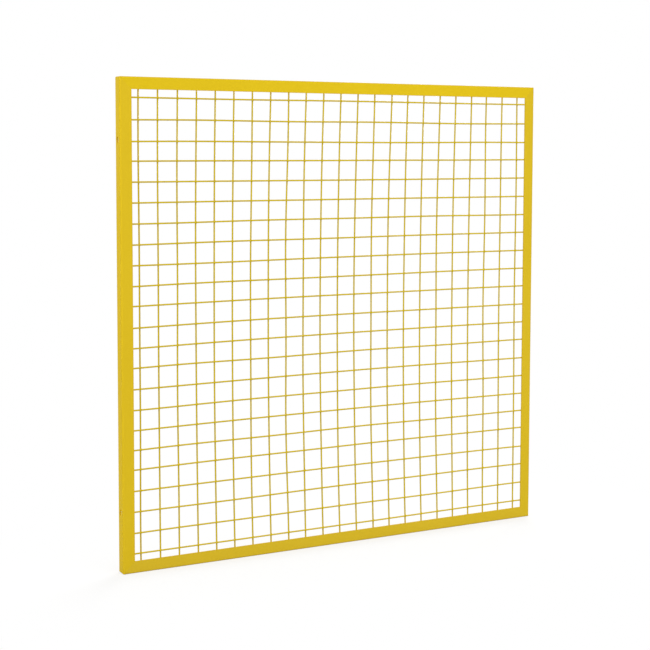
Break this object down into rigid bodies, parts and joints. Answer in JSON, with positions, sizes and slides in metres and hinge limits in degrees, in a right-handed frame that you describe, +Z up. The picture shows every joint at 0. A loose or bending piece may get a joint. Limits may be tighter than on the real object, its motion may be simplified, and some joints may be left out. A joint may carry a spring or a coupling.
{
  "type": "machine guard fence panel",
  "caption": "Square machine guard panel: a mitred angle-steel frame with welded wire mesh behind its flange and slotted legs at both sides.",
  "frame": {"origin": "on the outer face of the left stile's leg, at half height, on the centre line of its slots", "axes": "+X across the panel to the right stile, +Y from the front flange to the back, +Z up"},
  "size_m": [1.2, 0.03, 1.2],
  "materials": {
    "powder_coat": "semi-gloss"
  },
  "bodies": {
    "root": {"left_stile": "powder_coat", "right_stile": "powder_coat", "top_rail": "powder_coat", "bottom_rail": "powder_coat", "mesh_bottom": "powder_coat", "mesh_middle": "powder_coat", "mesh_top": "powder_coat", "weld_top_left": "powder_coat", "weld_top_right": "powder_coat", "weld_bottom_left": "powder_coat", "weld_bottom_right": "powder_coat"}
  },
  "joints": []
}
